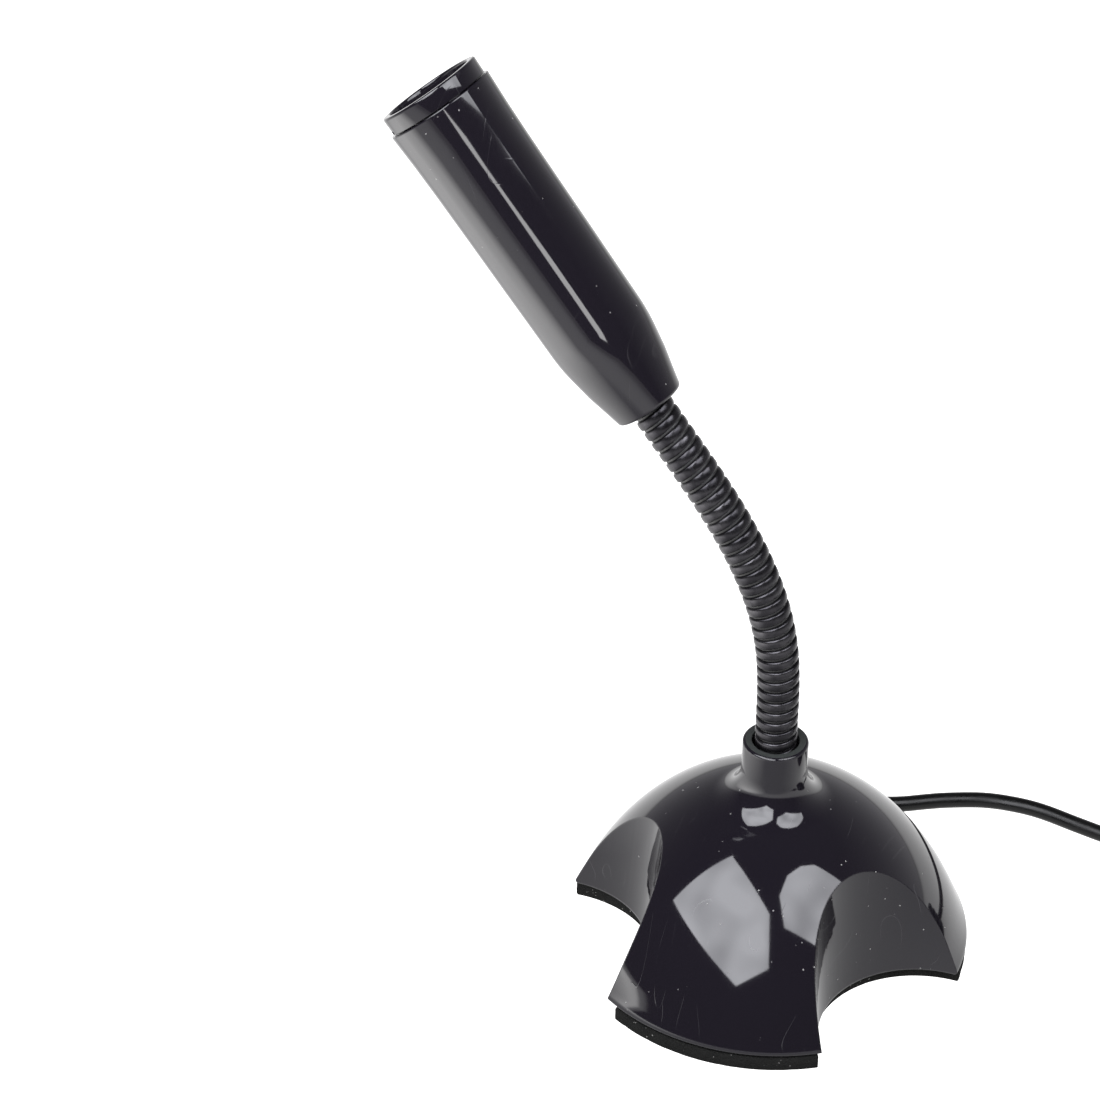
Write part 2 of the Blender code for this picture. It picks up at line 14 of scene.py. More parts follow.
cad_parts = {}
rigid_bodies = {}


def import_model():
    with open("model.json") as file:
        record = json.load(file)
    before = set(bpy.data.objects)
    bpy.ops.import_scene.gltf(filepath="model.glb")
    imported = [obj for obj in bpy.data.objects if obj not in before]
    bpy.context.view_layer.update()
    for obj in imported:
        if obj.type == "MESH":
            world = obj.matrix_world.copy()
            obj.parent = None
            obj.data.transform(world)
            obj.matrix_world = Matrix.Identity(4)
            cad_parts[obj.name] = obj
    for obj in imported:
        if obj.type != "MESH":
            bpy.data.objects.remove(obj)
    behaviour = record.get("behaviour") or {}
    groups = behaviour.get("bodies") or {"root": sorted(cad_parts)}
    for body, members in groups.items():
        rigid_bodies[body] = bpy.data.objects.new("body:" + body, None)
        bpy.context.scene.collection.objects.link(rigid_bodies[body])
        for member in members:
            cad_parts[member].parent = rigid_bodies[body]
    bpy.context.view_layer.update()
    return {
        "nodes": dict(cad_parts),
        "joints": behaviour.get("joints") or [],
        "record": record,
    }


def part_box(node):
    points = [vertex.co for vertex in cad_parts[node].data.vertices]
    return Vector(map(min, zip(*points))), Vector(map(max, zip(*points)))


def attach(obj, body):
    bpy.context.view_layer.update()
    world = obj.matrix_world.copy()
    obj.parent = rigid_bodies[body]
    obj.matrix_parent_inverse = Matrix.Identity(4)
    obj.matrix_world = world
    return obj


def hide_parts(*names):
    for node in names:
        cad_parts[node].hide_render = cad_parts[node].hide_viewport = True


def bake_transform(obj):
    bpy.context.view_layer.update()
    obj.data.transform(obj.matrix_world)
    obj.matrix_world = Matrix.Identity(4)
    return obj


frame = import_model()
nodes = frame["nodes"]
MM = 0.001


# ---------------------------------------------------------------- camera

CAMERA_LENS = 114.545  # mm, on a sensor 36 mm wide
CAMERA_PLACE = Vector((127.833, -423.574, 375.419)) * MM
CAMERA_RIGHT = Vector((0.929265, 0.369365, 0.005934))  # the direction to the right in the view
CAMERA_BACK = Vector((0.302579, -0.770260, 0.561379))  # the direction from the object towards the camera


def make_camera():
    """A long lens in front of the object, a little to its right, looking down at it."""
    data = bpy.data.cameras.new("camera")
    data.sensor_width = 36.0
    data.lens = CAMERA_LENS
    data.clip_start = 0.01
    camera = bpy.data.objects.new("camera", data)
    bpy.context.scene.collection.objects.link(camera)
    right = CAMERA_RIGHT.normalized()
    back = CAMERA_BACK.normalized()
    up = back.cross(right).normalized()
    turn = Matrix((right, up, back)).transposed().to_4x4()
    camera.matrix_world = Matrix.Translation(CAMERA_PLACE) @ turn
    bpy.context.scene.camera = camera


# ---------------------------------------------------------------- shapes

ON_AXIS = 1e-7  # a profile's point with a smaller radius is on the axis


def new_object(name, mesh, finish=None):
    made = bpy.data.objects.new(name, mesh)
    bpy.context.scene.collection.objects.link(made)
    if finish is not None:
        mesh.materials.append(finish)
    return made


def smooth(made, angle=35):
    made.data.shade_smooth()
    made.data.set_sharp_from_angle(angle=math.radians(angle))
    return made


def lathe(name, profile, finish=None, steps=128, place=None, closed=True, angle=35):
    """A mesh turned round Z from (radius, height) points that run down its outer side.

    A closed profile comes back up the bore, and an open one starts and ends on the axis. place is the matrix
    that puts the mesh in the frame.
    """
    shape = bmesh.new()
    turns = [2 * math.pi * i / steps for i in range(steps)]
    rings = []
    for radius, height in profile:
        if radius < ON_AXIS:
            rings.append([shape.verts.new((0, 0, height))] * steps)
        else:
            ring = [(radius * math.cos(a), radius * math.sin(a), height) for a in turns]
            rings.append([shape.verts.new(point) for point in ring])
    pairs = list(zip(rings, rings[1:]))
    if closed:
        pairs.append((rings[-1], rings[0]))
    for upper, lower in pairs:
        for i in range(steps):
            j = (i + 1) % steps
            corners = list(dict.fromkeys((upper[i], lower[i], lower[j], upper[j])))
            if len(corners) > 2:
                shape.faces.new(corners)
    mesh = bpy.data.meshes.new(name)
    shape.to_mesh(mesh)
    shape.free()
    if place is not None:
        mesh.transform(place)
    return smooth(new_object(name, mesh, finish), angle)


def box(name, size, centre):
    shape = bmesh.new()
    bmesh.ops.create_cube(shape, size=1.0)
    bmesh.ops.scale(shape, verts=shape.verts, vec=size)
    bmesh.ops.translate(shape, verts=shape.verts, vec=centre)
    mesh = bpy.data.meshes.new(name)
    shape.to_mesh(mesh)
    shape.free()
    return new_object(name, mesh)


def arc(centre, radius, start, end, steps):
    """(radius, height) points along an arc, with its angles in degrees from the outward direction."""
    angles = [math.radians(start + (end - start) * i / steps) for i in range(steps + 1)]
    return [(centre[0] + radius * math.cos(a), centre[1] + radius * math.sin(a)) for a in angles]


def rounded(corners, steps=5):
    """An outline with its corners rounded. Each corner is (radius, height, size of its rounding)."""
    outline = []
    count = len(corners)
    for i, (x, y, size) in enumerate(corners):
        here = Vector((x, y))
        if size <= 0:
            outline.append((x, y))
            continue
        before = Vector(corners[i - 1][:2])
        after = Vector(corners[(i + 1) % count][:2])
        start = here + (before - here).normalized() * size
        end = here + (after - here).normalized() * size
        for k in range(steps + 1):
            t = k / steps
            point = start * (1 - t) ** 2 + here * 2 * t * (1 - t) + end * t * t
            outline.append((point.x, point.y))
    return outline


def in_mm(corners):
    return [tuple(value * MM for value in corner) for corner in corners]


def cut(made, tools):
    """Cuts a mesh with others, and removes those."""
    for tool in tools:
        boolean = made.modifiers.new("cut", "BOOLEAN")
        boolean.operation = "DIFFERENCE"
        boolean.solver = "EXACT"
        boolean.object = tool
    settle(made)
    for tool in tools:
        bpy.data.objects.remove(tool, do_unlink=True)


def settle(made):
    """Makes the object's modifiers part of its mesh."""
    bpy.context.view_layer.update()
    graph = bpy.context.evaluated_depsgraph_get()
    mesh = bpy.data.meshes.new_from_object(made.evaluated_get(graph), depsgraph=graph)
    made.modifiers.clear()
    made.data = mesh


def sweep(name, finish, centres, section, closed=False):
    """A skin over rings. Each centre is (point, axis one, axis two), and a section's point is (one, two)."""
    shape = bmesh.new()
    rings = [[shape.verts.new(point + one * a + two * b) for a, b in section] for point, one, two in centres]
    pairs = list(zip(rings, rings[1:]))
    if closed:
        pairs.append((rings[-1], rings[0]))
    count = len(section)
    for first, second in pairs:
        for i in range(count):
            j = (i + 1) % count
            shape.faces.new((first[i], first[j], second[j], second[i]))
    bmesh.ops.recalc_face_normals(shape, faces=shape.faces)
    mesh = bpy.data.meshes.new(name)
    shape.to_mesh(mesh)
    shape.free()
    return smooth(new_object(name, mesh, finish), 50)


def smooth_line(points, spacing):
    """Points about spacing apart on a smooth curve through the given ones."""
    ends = [2 * points[0] - points[1]] + points + [2 * points[-1] - points[-2]]
    line = [points[0]]
    for before, start, end, after in zip(ends, ends[1:], ends[2:], ends[3:]):
        steps = max(1, round((end - start).length / spacing))
        for i in range(1, steps + 1):
            t = i / steps
            line.append(0.5 * (2 * start + (end - before) * t
                               + (2 * before - 5 * start + 4 * end - after) * t * t
                               + (3 * start - before - 3 * end + after) * t * t * t))
    return line


def carried(piece, body, *replaced, slot=None):
    """The piece moves with a body and stands for CAD nodes. Its slot is not used."""
    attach(piece, body)
    if replaced:
        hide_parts(*replaced)


# ---------------------------------------------------------------- materials

def map_range(tree, value, low, high, out_low, out_high):
    """A value's range low..high, clamped and mapped to out_low..out_high."""
    made = tree.nodes.new("ShaderNodeMapRange")
    limits = (low, high, out_low, out_high)
    for socket, number in zip(("From Min", "From Max", "To Min", "To Max"), limits):
        made.inputs[socket].default_value = number
    tree.links.new(value, made.inputs["Value"])
    return made.outputs["Result"]


class Finish:
    """A Principled material whose nodes are added one by one. Coordinates are the object's own, in metres."""

    def __init__(self, name, colour, roughness, metallic=0.0, ior=1.5):
        self.material = bpy.data.materials.new(name)
        self.material.use_nodes = True
        self.material.diffuse_color = (*colour, 1)
        self.tree = self.material.node_tree
        self.shader = self.tree.nodes["Principled BSDF"]
        self.set("Base Color", (*colour, 1))
        self.set("Roughness", roughness)
        self.set("Metallic", metallic)
        self.set("IOR", ior)
        self.place = self.node("ShaderNodeTexCoord").outputs["Object"]
        self.normal = None

    def set(self, socket, value):
        self.shader.inputs[socket].default_value = value

    def node(self, kind, **settings):
        made = self.tree.nodes.new(kind)
        for key, value in settings.items():
            setattr(made, key, value)
        return made

    def join(self, source, target):
        self.tree.links.new(source, target)

    def stretched(self, scale, turn=(0, 0, 0)):
        """The coordinates, turned and scaled differently along each axis."""
        mapping = self.node("ShaderNodeMapping")
        mapping.inputs["Rotation"].default_value = turn
        mapping.inputs["Scale"].default_value = scale
        self.join(self.place, mapping.inputs["Vector"])
        return mapping.outputs["Vector"]

    def noise(self, scale, detail=3.0, rough=0.5, where=None):
        made = self.node("ShaderNodeTexNoise")
        made.inputs["Scale"].default_value = scale
        made.inputs["Detail"].default_value = detail
        made.inputs["Roughness"].default_value = rough
        self.join(where or self.place, made.inputs["Vector"])
        return made.outputs["Fac"]

    def cells(self, scale, where=None):
        """The distance to the middle of the nearest cell."""
        made = self.node("ShaderNodeTexVoronoi")
        made.inputs["Scale"].default_value = scale
        self.join(where or self.place, made.inputs["Vector"])
        return made.outputs["Distance"]

    def spread(self, value, low, high, out_low, out_high):
        return map_range(self.tree, value, low, high, out_low, out_high)

    def maths(self, operation, one, two):
        made = self.node("ShaderNodeMath", operation=operation)
        for socket, value in zip(made.inputs, (one, two)):
            if isinstance(value, (int, float)):
                socket.default_value = value
            else:
                self.join(value, socket)
        return made.outputs["Value"]

    def mixed(self, factor, one, two):
        """A colour between two, which are colours or sockets."""
        made = self.node("ShaderNodeMix", data_type="RGBA")
        self.join(factor, made.inputs[0])
        for socket, value in zip((made.inputs[6], made.inputs[7]), (one, two)):
            if isinstance(value, tuple):
                socket.default_value = (*value, 1)
            else:
                self.join(value, socket)
        return made.outputs[2]

    def bump(self, height, distance):
        """Adds relief, distance metres high where height is 1, on top of the relief added before."""
        made = self.node("ShaderNodeBump")
        made.inputs["Distance"].default_value = distance
        self.join(height, made.inputs["Height"])
        if self.normal is not None:
            self.join(self.normal, made.inputs["Normal"])
        self.normal = made.outputs["Normal"]
        self.join(self.normal, self.shader.inputs["Normal"])

    def colour(self, socket):
        self.join(socket, self.shader.inputs["Base Color"])

    def rough(self, socket):
        self.join(socket, self.shader.inputs["Roughness"])


def dust(finish, scale, size, seed_shift=0.0):
    """Small specks, one in some cells of a grid: 1 on a speck and 0 elsewhere."""
    where = finish.stretched((1, 1, 1), (0.3 + seed_shift, 0.7, 0.2))
    speck = finish.spread(finish.cells(scale, where=where), size * 0.7, size, 1, 0)
    sparse = finish.spread(finish.noise(scale * 0.35, 2, 0.6, where), 0.56, 0.6, 0, 1)
    return finish.maths("MULTIPLY", speck, sparse)


def hairlines(finish, scale, turn):
    """Fine curved scratches that run roughly one way: 1 on a scratch and 0 elsewhere."""
    width = 0.006  # of a scratch, in the noise's own range of 0 to 1
    where = finish.stretched((scale, scale * 0.12, scale * 0.3), turn)
    middle = finish.maths("ABSOLUTE", finish.maths("SUBTRACT", finish.noise(1.0, 0.0, 0.5, where), 0.5), 0)
    line = finish.spread(middle, 0.0, width, 1, 0)
    patch = finish.spread(finish.noise(130, 1, 0.5, finish.stretched((1, 1, 1), turn)), 0.56, 0.64, 0, 1)
    return finish.maths("MULTIPLY", line, patch)


def gloss_finish(name, colour, roughness, scratched, rounding):
    """Black moulded ABS: a faint haze, hairline scratches, a little dust, a slightly wavy skin and edges
    rounded by the mould."""
    finish = Finish(name, colour, roughness)
    edges = finish.node("ShaderNodeBevel", samples=6)
    edges.inputs["Radius"].default_value = rounding
    finish.normal = edges.outputs["Normal"]
    haze = finish.spread(finish.noise(60, 4, 0.6), 0.35, 0.75, roughness * 0.8, roughness * 1.6)
    one_way = hairlines(finish, 300, (0.4, 0.2, 0.5))
    other_way = hairlines(finish, 240, (1.1, -0.6, 2.1))
    lines = finish.maths("MULTIPLY", finish.maths("MAXIMUM", one_way, other_way), scratched)
    specks = dust(finish, 640, 0.10)
    rough = finish.maths("MAXIMUM", haze, finish.maths("MULTIPLY", lines, 0.22))
    finish.rough(finish.maths("MAXIMUM", rough, finish.maths("MULTIPLY", specks, 0.8)))
    marked = finish.mixed(finish.maths("MULTIPLY", lines, 0.05), colour, (0.5, 0.5, 0.5))
    finish.colour(finish.mixed(finish.maths("MULTIPLY", specks, 0.35), marked, (0.5, 0.49, 0.47)))
    finish.bump(finish.noise(45, 1, 0.4), 0.00004)
    finish.bump(lines, 0.000003)
    return finish.material


def satin_finish(name, colour, roughness, grain=0.000006):
    """Moulded plastic with a fine spark-eroded grain."""
    finish = Finish(name, colour, roughness)
    finish.rough(finish.spread(finish.noise(900, 4, 0.6), 0.3, 0.7, roughness * 0.8, roughness * 1.25))
    finish.colour(finish.mixed(finish.noise(350, 3, 0.6), colour, tuple(value * 1.5 for value in colour)))
    finish.bump(finish.noise(4500, 3, 0.6), grain)
    return finish.material


def foam_finish(name):
    """Closed-cell EVA foam with lint and dust pressed into its cut edge."""
    dark, light = (0.002, 0.002, 0.002), (0.010, 0.010, 0.009)
    finish = Finish(name, dark, 0.95, ior=1.25)
    pores = finish.spread(finish.cells(2600), 0.15, 0.6, 0, 1)
    tone = finish.mixed(finish.noise(500, 4, 0.65), dark, light)
    specks = finish.maths("MAXIMUM", dust(finish, 900, 0.14), dust(finish, 1700, 0.16, 1.3))
    finish.colour(finish.mixed(finish.maths("MULTIPLY", specks, 0.5), tone, (0.4, 0.39, 0.37)))
    finish.bump(pores, 0.00008)
    finish.bump(finish.noise(700, 4, 0.7), 0.0002)
    return finish.material


def wire_finish(name):
    """Black-oxided spring wire: dark metal with drawing lines, rubbed lighter in places."""
    finish = Finish(name, (0.03, 0.028, 0.031), 0.24, metallic=0.85)
    lines = finish.noise(2500, 4, 0.7, finish.stretched((1, 1, 5)))
    worn = finish.spread(finish.noise(260, 4, 0.65), 0.42, 0.72, 0, 1)
    finish.colour(finish.mixed(worn, (0.022, 0.021, 0.024), (0.055, 0.053, 0.057)))
    finish.rough(finish.spread(finish.noise(700, 3, 0.6), 0.3, 0.7, 0.18, 0.34))
    finish.bump(lines, 0.000008)
    return finish.material


def cord_finish(name):
    """Satin PVC jacket with faint extrusion ripples and a few dull scuffs."""
    finish = Finish(name, (0.003, 0.003, 0.003), 0.3, ior=1.3)
    finish.rough(finish.spread(finish.noise(240, 4, 0.6), 0.35, 0.7, 0.24, 0.4))
    finish.colour(finish.mixed(finish.noise(600, 3, 0.6), (0.002, 0.002, 0.002), (0.004, 0.004, 0.004)))
    finish.bump(finish.noise(1400, 3, 0.55), 0.000015)
    return finish.material


def metal_finish(name, colour, roughness, brush=(1, 1, 1), depth=0.000004):
    """Plated or bare metal with a fine grain and some cloudiness."""
    finish = Finish(name, colour, roughness, metallic=1.0)
    finish.rough(finish.spread(finish.noise(400, 4, 0.6), 0.3, 0.7, roughness * 0.7, roughness * 1.4))
    finish.colour(finish.mixed(finish.noise(180, 3, 0.6), colour, tuple(value * 0.8 for value in colour)))
    finish.bump(finish.noise(2600, 3, 0.6, finish.stretched(brush)), depth)
    return finish.material


def iron_finish(name):
    """Raw sintered iron: pitted and dark, with a trace of rust."""
    finish = Finish(name, (0.13, 0.12, 0.115), 0.6, metallic=0.9)
    rust = finish.spread(finish.noise(320, 4, 0.7), 0.58, 0.72, 0, 1)
    finish.colour(finish.mixed(rust, (0.13, 0.12, 0.115), (0.16, 0.07, 0.035)))
    finish.bump(finish.cells(1400), 0.00006)
    return finish.material


gloss_black = gloss_finish("gloss_black_abs", (0.0065, 0.0055, 0.008), 0.045, 0.8, 0.4 * MM)
head_black = gloss_finish("head_black_abs", (0.0065, 0.0055, 0.008), 0.05, 0.4, 0.1 * MM)
satin_black = satin_finish("satin_black_abs", (0.014, 0.013, 0.015), 0.2, 0.000002)
matt_black = satin_finish("matt_black_abs", (0.02, 0.02, 0.021), 0.55)
collar_black = satin_finish("collar_face_abs", (0.014, 0.016, 0.015), 0.5)
rubber = satin_finish("boot_rubber", (0.02, 0.02, 0.02), 0.75, 0.00001)
nylon = satin_finish("tie_nylon", (0.016, 0.016, 0.017), 0.4, 0.000004)
insulator = satin_finish("plug_insulator", (0.008, 0.008, 0.008), 0.35, 0.000002)
foam_black = foam_finish("eva_foam")
wire_black = wire_finish("neck_wire")
wedge_black = satin_finish("neck_wedge", (0.01, 0.01, 0.01), 0.5)
cord_black = cord_finish("cord_pvc")
zinc = metal_finish("zinc_plate", (0.62, 0.62, 0.6), 0.32)
aluminium = metal_finish("capsule_aluminium", (0.78, 0.78, 0.79), 0.28, (1, 1, 8))
nickel = metal_finish("plug_nickel", (0.72, 0.7, 0.66), 0.14, (1, 6, 1), 0.000002)
iron = iron_finish("ballast_iron")

CAD_FINISHES = {
    "gloss_black": gloss_black, "satin_black": satin_black, "matt_black": matt_black,
    "foam_black": foam_black, "rubber": rubber, "cord_black": cord_black, "nylon": nylon,
    "insulator": insulator, "black_steel": wire_black, "zinc_steel": zinc, "cast_iron": iron,
    "aluminium": aluminium, "nickel": nickel,
}


def finish_cad_nodes():
    """Every CAD node takes the finish of its slot in the record, for those that stay shown."""
    for part in frame["record"]["subparts"]:
        node = nodes[part["node"]]
        node.data.materials.clear()
        node.data.materials.append(CAD_FINISHES[part["material_slot"]])
        smooth(node, 30)


# ---------------------------------------------------------------- cord

CORD_RADIUS = 1.35 * MM
CORD_ROUTE = [  # in mm, from the strain relief to where the lead meets its coil
    (0.0, 27.3, 7.6), (0.3, 29.6, 7.3), (1.3, 32.2, 6.2), (3.1, 34.6, 4.4), (5.6, 36.8, 2.7),
    (8.4, 38.6, 1.7), (11.4, 40.3, 1.4), (14.6, 42.2, 1.4), (18.1, 44.1, 1.4), (23.7, 46.4, 1.4),
    (29.0, 47.3, 1.4), (34.0, 47.2, 1.4), (40.5, 45.9, 1.4), (46.5, 44.8, 1.4), (53.0, 44.1, 1.5),
    (58.0, 43.85, 1.7), (62.0, 43.8, 1.85),
]
TAIL_ROUTE = [  # in mm, from the coil to the plug
    (89.05, 13.4, 8.6), (89.15, 11.0, 7.2), (89.5, 8.8, 5.6), (89.85, 7.0, 4.6), (90.0, 5.3, 4.2),
]
COIL_RADII = (12.3, 15.0, 17.7)  # of the columns of turns, in mm
COIL_LAYERS = (1.95, 4.65, 7.35, 10.05)  # heights of the layers of turns, in mm
STEP_ARC = 38  # degrees in which a turn moves over to the next column
CLIMB_ARC = 34  # degrees in which the winding climbs to the next layer
EXIT_ANGLE = 90  # degrees clockwise from +Y, where the cord leaves its coil
BEFORE_COIL = (-4.5, 17.72, 1.93)  # in mm from the coil's middle, where the lead comes up to its first turn
AFTER_COIL = ((17.72, -4.0, 10.05), (17.45, -8.6, 9.75))  # in mm from the coil's middle, past its last turn
STRAP_ANGLE = math.radians(-110)  # where the strap holds the coil, from +X


def coil_centre():
    low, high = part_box("cord_coil")
    return Vector(((low.x + high.x) / 2, (low.y + high.y) / 2, 0))


def coil_stations():
    """(angle, column radius, height) where the winding changes, in degrees of travel and mm.

    Each layer's turns step over at an angle of their own, and so do the climbs between layers, so that no two
    stretches cross inside a layer.
    """
    stations = [(0, COIL_RADII[2], COIL_LAYERS[0])]
    step_start = 360 - STEP_ARC
    turn = 0
    inwards = True
    for layer, height in enumerate(COIL_LAYERS):
        radii = sorted(COIL_RADII, reverse=inwards)
        for first, second in zip(radii, radii[1:]):
            stations += [(turn + step_start, first, height), (turn + step_start + STEP_ARC, second, height)]
            turn += 360
        if layer == len(COIL_LAYERS) - 1:
            stations.append((turn + EXIT_ANGLE, radii[2], height))
            break
        climb_start = step_start - CLIMB_ARC - 2
        stations += [(turn + climb_start, radii[2], height),
                     (turn + climb_start + CLIMB_ARC, radii[2], COIL_LAYERS[layer + 1])]
        turn += 360
        step_start = climb_start - STEP_ARC - 2
        inwards = not inwards
    return stations


def coil_points(per_turn=30):
    centre = coil_centre()
    stations = coil_stations()
    last = stations[-1][0]
    count = round(last / 360 * per_turn)
    points = []
    for i in range(1, count):
        angle = last * i / count
        index = max(k for k, station in enumerate(stations) if station[0] <= angle)
        start, end = stations[index], stations[min(index + 1, len(stations) - 1)]
        t = (angle - start[0]) / max(end[0] - start[0], 1e-6)
        t = t * t * (3 - 2 * t)
        radius = (start[1] + (end[1] - start[1]) * t) * MM
        height = (start[2] + (end[2] - start[2]) * t) * MM
        turn = math.radians(angle)
        points.append(centre + Vector((radius * math.sin(turn), radius * math.cos(turn), height)))
    return points


def make_cord():
    """The cord in one piece: along the desk, round its coil, and down to the plug."""
    route = [Vector(point) * MM for point in CORD_ROUTE]
    centre = coil_centre()
    arrive = centre + Vector(BEFORE_COIL) * MM
    leave = [centre + Vector(point) * MM for point in AFTER_COIL]
    tail = [Vector(point) * MM for point in TAIL_ROUTE]
    points = route + [arrive] + coil_points() + leave + tail
    line = smooth_line(points, 1.1 * MM)
    curve = bpy.data.curves.new("cord_lead", "CURVE")
    curve.dimensions = "3D"
    curve.bevel_depth = CORD_RADIUS
    curve.bevel_resolution = 6
    curve.use_fill_caps = True
    spline = curve.splines.new("POLY")
    spline.points.add(len(line) - 1)
    for point, where in zip(spline.points, line):
        point.co = (*where, 1)
    spline.use_smooth = True
    curve.materials.append(cord_black)
    cord = bpy.data.objects.new("cord_lead", curve)
    bpy.context.scene.collection.objects.link(cord)
    carried(cord, "base", "cord", "cord_coil", "cord_tail", slot="cord_black")
    length = sum((b - a).length for a, b in zip(line, line[1:]))
    return cord, length


def make_plug():
    """The moulded grip, with finger ribs and a stepped bend relief, over the CAD plug's own contacts."""
    low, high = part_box("plug_grip")
    axis_x, axis_z = (low.x + high.x) / 2, (low.z + high.z) / 2
    length = (high.y - low.y) / MM
    outline = [(0, length, 0), (3.4, length, 0.3), (4.1, length - 1.0, 0.5)]
    for i in range(5):
        along = length - 3.2 - 1.7 * i
        outline += [(4.1, along, 0.15), (3.8, along - 0.35, 0.15), (3.8, along - 0.8, 0.15),
                    (4.1, along - 1.1, 0.15)]
    outline += [(4.1, 7.6, 0.5), (3.3, 6.4, 0.4), (2.6, 6.0, 0.2)]
    for i in range(4):
        along = 5.3 - 1.2 * i
        radius = 2.45 - 0.22 * i
        outline += [(radius, along, 0.1), (radius - 0.4, along - 0.15, 0.1), (radius - 0.4, along - 0.5, 0.1),
                    (radius - 0.12, along - 0.65, 0.1)]
    outline += [(1.5, 0, 0.1), (0, 0, 0)]
    place = Matrix.Translation((axis_x, high.y, axis_z)) @ Matrix.Rotation(math.pi / 2, 4, "X")
    grip = lathe("plug_handle", in_mm(rounded(outline, 3)), cord_black, 64, place, closed=False)
    carried(grip, "base", "plug_grip", slot="cord_black")
    return grip


def make_coil_tie():
    """A soft flat strap with rounded corners, round the turns."""
    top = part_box("cord_coil")[1].z / MM + 0.25
    bottom = 0.22
    half = 4.6  # the strap's half width across the turns, which spread 4.05 mm to either side
    corner = 1.3
    out = Vector((math.cos(STRAP_ANGLE), math.sin(STRAP_ANGLE), 0))
    along = Vector((-out.y, out.x, 0))
    path = []
    for cx, cy, start in ((half - corner, bottom + corner, -90), (half - corner, top - corner, 0),
                          (-half + corner, top - corner, 90), (-half + corner, bottom + corner, 180)):
        for k in range(7):
            a = math.radians(start + 15 * k)
            path.append((cx + corner * math.cos(a), cy + corner * math.sin(a), math.cos(a), math.sin(a)))
    middle = coil_centre() + out * COIL_RADII[1] * MM
    rings = [(middle + out * x * MM + Vector((0, 0, y * MM)), out * nx + Vector((0, 0, ny)), along)
             for x, y, nx, ny in path]
    thick, width, edge = 0.2 * MM, 2.0 * MM, 2.08 * MM
    section = [(-thick, -width), (-thick, width), (0, edge), (thick, width), (thick, -width), (0, -edge)]
    strap = sweep("coil_strap", nylon, rings, section, closed=True)
    carried(strap, "base", "coil_tie", slot="nylon")
    return strap


# ---------------------------------------------------------------- base

BASE_RADIUS = 33.0 * MM
SHELL_BOTTOM = 2.9 * MM
SHELL_WALL = 1.8 * MM
DOME_WIDE = 35.51 * MM  # half the width of the ellipse that the dome's outline follows
DOME_TALL = 45.0 * MM  # half its height
SKIRT_LEAN = math.radians(24)  # of the straight skirt below the dome, from upright
SKIRT_ANGLE = math.atan(DOME_TALL / DOME_WIDE * math.tan(SKIRT_LEAN))  # of the ellipse at the skirt's top
SKIRT_TOP = SHELL_BOTTOM + (BASE_RADIUS - DOME_WIDE * math.cos(SKIRT_ANGLE)) / math.tan(SKIRT_LEAN)
DOME_CENTRE = SKIRT_TOP - DOME_TALL * math.sin(SKIRT_ANGLE)
COLLAR_RADIUS = 5.25 * MM
COLLAR_TOP = 40.4 * MM
COLLAR_FILLET = 7.0 * MM
CAVITY_TOP = 27.0 * MM
FOOT_ROUNDING = 0.5 * MM
SCALLOP_RADIUS = 16.7 * MM
SCALLOP_DISTANCE = 36.8 * MM
SCALLOP_DRAFT = math.radians(5.1)
BASE_TURN = 1.2  # of the base's scallops and legs about Z, in degrees
SCALLOP_ANGLES = [math.radians(a + BASE_TURN) for a in (90, 210, 330)]
LEG_ANGLES = [math.radians(a + BASE_TURN) for a in (270, 30, 150)]
BOSS_DISTANCE = 25 * MM  # of the screws' bosses from the middle
INLET_HEIGHT = 7.6 * MM  # of the hole for the cord
FACE_DEPTH = 1.6 * MM  # how far down the collar's bore its duller face goes
MAT_RADIUS = 32.7 * MM
MAT_INSET = 1.2 * MM  # of the foam mat behind the shell in a scallop
MAT_TURN = math.radians(1.2)  # of the mat beyond the shell, as it was stuck on


def dome_line(start, end, steps, inset=0.0):
    """(radius, height) points of the dome's outline, inset by a wall, between two of the ellipse's angles."""
    wide, tall = DOME_WIDE - inset, DOME_TALL - inset
    angles = [start + (end - start) * i / steps for i in range(steps + 1)]
    return [(wide * math.cos(a), DOME_CENTRE + tall * math.sin(a)) for a in angles]


def fillet_foot():
    """Where the collar's fillet runs out into the dome: (the ellipse's angle, the dome's normal there, the
    height of the fillet's centre)."""
    low, high = math.radians(45), math.radians(90)
    for _ in range(40):
        angle = (low + high) / 2
        normal = math.atan2(math.sin(angle) / DOME_TALL, math.cos(angle) / DOME_WIDE)
        if DOME_WIDE * math.cos(angle) + COLLAR_FILLET * math.cos(normal) > COLLAR_RADIUS + COLLAR_FILLET:
            low = angle
        else:
            high = angle
    return angle, normal, DOME_CENTRE + DOME_TALL * math.sin(angle) + COLLAR_FILLET * math.sin(normal)


def scallop_cutters(extra, low, high, steps=160):
    """Three drafted cones for the scallops, extra wider, from a low height to a high one."""
    cutters = []
    for angle in SCALLOP_ANGLES:
        radii = [SCALLOP_RADIUS + extra + (z - SHELL_BOTTOM) * math.tan(SCALLOP_DRAFT) for z in (high, low)]
        place = Matrix.Translation(Vector((math.cos(angle), math.sin(angle), 0)) * SCALLOP_DISTANCE)
        outline = [(0, high), (radii[0], high), (radii[1], low), (0, low)]
        cutters.append(lathe("cutter", outline, None, steps, place, closed=False))
    return cutters


